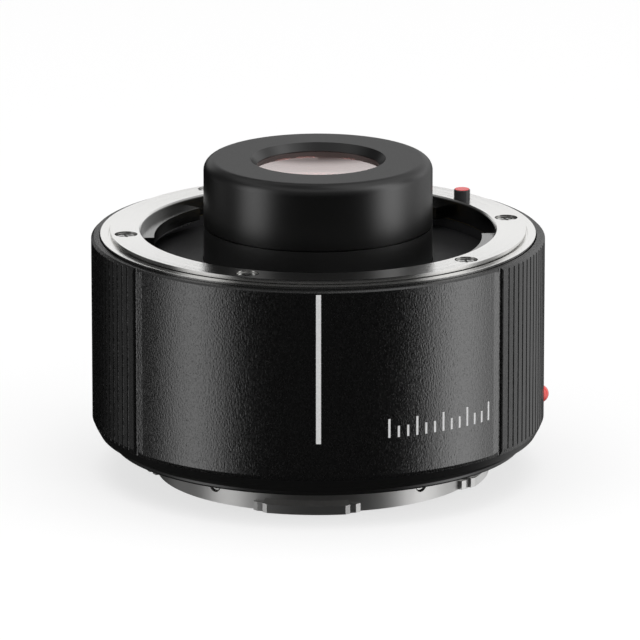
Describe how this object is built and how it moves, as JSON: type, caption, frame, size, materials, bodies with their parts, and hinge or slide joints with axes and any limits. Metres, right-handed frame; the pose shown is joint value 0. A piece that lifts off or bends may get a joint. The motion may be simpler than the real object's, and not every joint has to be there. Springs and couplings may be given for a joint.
{
  "type": "camera teleconverter",
  "caption": "Ribbed black teleconverter barrel with a steel lens bayonet, protruding hooded front lens, sprung lock pin and contacts, and a lugged camera bayonet below.",
  "frame": {"origin": "on the optical axis, at the foot of the camera bayonet's lugs", "axes": "+Z along the optical axis towards the lens, -Y towards the white index line on the front of the barrel"},
  "size_m": [0.0722, 0.0712, 0.0503],
  "materials": {
    "barrel_paint": "fine wrinkle paint, matte black",
    "satin_black": "satin black anodised",
    "black_plastic": "moulded matte",
    "flocked_black": "dead matte black",
    "mount_steel": "satin turned",
    "spigot_steel": "satin blasted",
    "spring_steel": "plain",
    "screw_steel": "plain",
    "black_screw": "blackened",
    "lock_metal": "dark plated with a red tip",
    "gold_contact": "gold plated",
    "shim_brass": "rolled",
    "frame_alloy": "die cast, dark",
    "coated_glass": "coated, faint lavender reflection",
    "seal_rubber": "matte",
    "red_paint": "gloss red",
    "board_green": "solder resist",
    "chip_black": "matte",
    "ribbon_amber": "polyimide"
  },
  "bodies": {
    "body": {"outer_barrel": "barrel_paint", "rear_ring": "satin_black", "front_hood": "satin_black", "optical_barrel": "satin_black", "throat_floor": "black_plastic", "rear_baffle": "black_plastic", "rear_contact_block": "black_plastic", "front_contact_block": "black_plastic", "lens_spacer_1": "flocked_black", "lens_spacer_2": "flocked_black", "lens_spacer_3": "flocked_black", "rear_retainer": "flocked_black", "front_bayonet": "mount_steel", "rear_bayonet": "spigot_steel", "bayonet_springs": "spring_steel", "lock_spring": "spring_steel", "front_contact_springs": "spring_steel", "lock_bracket": "spring_steel", "front_bayonet_screws": "screw_steel", "optical_barrel_screws": "screw_steel", "rear_bayonet_screws": "screw_steel", "rear_baffle_screws": "screw_steel", "board_screws": "screw_steel", "lock_bracket_screw": "screw_steel", "rear_contact_screws": "black_screw", "front_contact_screws": "black_screw", "rear_contact_pads": "gold_contact", "front_shim": "shim_brass", "rear_shim": "shim_brass", "main_frame": "frame_alloy", "lens_element_1": "coated_glass", "lens_element_2": "coated_glass", "lens_element_3": "coated_glass", "lens_element_4": "coated_glass", "lens_element_5": "coated_glass", "lens_element_6": "coated_glass", "lens_element_7": "coated_glass", "mount_seal": "seal_rubber", "index_dot": "red_paint", "circuit_board": "board_green", "circuit_chips": "chip_black", "rear_ribbon": "ribbon_amber"},
    "lock_pin": {"lock_pin": "lock_metal"},
    "release": {"release_knob": "satin_black", "release_slide": "spring_steel", "knob_screw": "black_screw"},
    "contact_pin_01": {"contact_pin_01": "gold_contact"},
    "contact_pin_02": {"contact_pin_02": "gold_contact"},
    "contact_pin_03": {"contact_pin_03": "gold_contact"},
    "contact_pin_04": {"contact_pin_04": "gold_contact"},
    "contact_pin_05": {"contact_pin_05": "gold_contact"},
    "contact_pin_06": {"contact_pin_06": "gold_contact"},
    "contact_pin_07": {"contact_pin_07": "gold_contact"},
    "contact_pin_08": {"contact_pin_08": "gold_contact"},
    "contact_pin_09": {"contact_pin_09": "gold_contact"},
    "contact_pin_10": {"contact_pin_10": "gold_contact"}
  },
  "joints": [
    {"name": "release_slide_down", "type": "slide", "parent": "body", "child": "release", "axis": [0, 0, -1], "range_m": [0, 0.0018]},
    {"name": "lock_pin_slide", "type": "slide", "parent": "body", "child": "lock_pin", "axis": [0, 0, -1], "range_m": [0, 0.0018], "stiffness_N_per_m": 250, "deforming": ["lock_spring"]},
    {"name": "contact_pin_01_press", "type": "slide", "parent": "body", "child": "contact_pin_01", "axis": [0, 0, -1], "range_m": [0, 0.0005], "stiffness_N_per_m": 300},
    {"name": "contact_pin_02_press", "type": "slide", "parent": "body", "child": "contact_pin_02", "axis": [0, 0, -1], "range_m": [0, 0.0005], "stiffness_N_per_m": 300},
    {"name": "contact_pin_03_press", "type": "slide", "parent": "body", "child": "contact_pin_03", "axis": [0, 0, -1], "range_m": [0, 0.0005], "stiffness_N_per_m": 300},
    {"name": "contact_pin_04_press", "type": "slide", "parent": "body", "child": "contact_pin_04", "axis": [0, 0, -1], "range_m": [0, 0.0005], "stiffness_N_per_m": 300},
    {"name": "contact_pin_05_press", "type": "slide", "parent": "body", "child": "contact_pin_05", "axis": [0, 0, -1], "range_m": [0, 0.0005], "stiffness_N_per_m": 300},
    {"name": "contact_pin_06_press", "type": "slide", "parent": "body", "child": "contact_pin_06", "axis": [0, 0, -1], "range_m": [0, 0.0005], "stiffness_N_per_m": 300},
    {"name": "contact_pin_07_press", "type": "slide", "parent": "body", "child": "contact_pin_07", "axis": [0, 0, -1], "range_m": [0, 0.0005], "stiffness_N_per_m": 300},
    {"name": "contact_pin_08_press", "type": "slide", "parent": "body", "child": "contact_pin_08", "axis": [0, 0, -1], "range_m": [0, 0.0005], "stiffness_N_per_m": 300},
    {"name": "contact_pin_09_press", "type": "slide", "parent": "body", "child": "contact_pin_09", "axis": [0, 0, -1], "range_m": [0, 0.0005], "stiffness_N_per_m": 300},
    {"name": "contact_pin_10_press", "type": "slide", "parent": "body", "child": "contact_pin_10", "axis": [0, 0, -1], "range_m": [0, 0.0005], "stiffness_N_per_m": 300}
  ],
  "couplings": [
    {"joint": "lock_pin_slide", "follows": "release_slide_down", "ratio": 1}
  ]
}
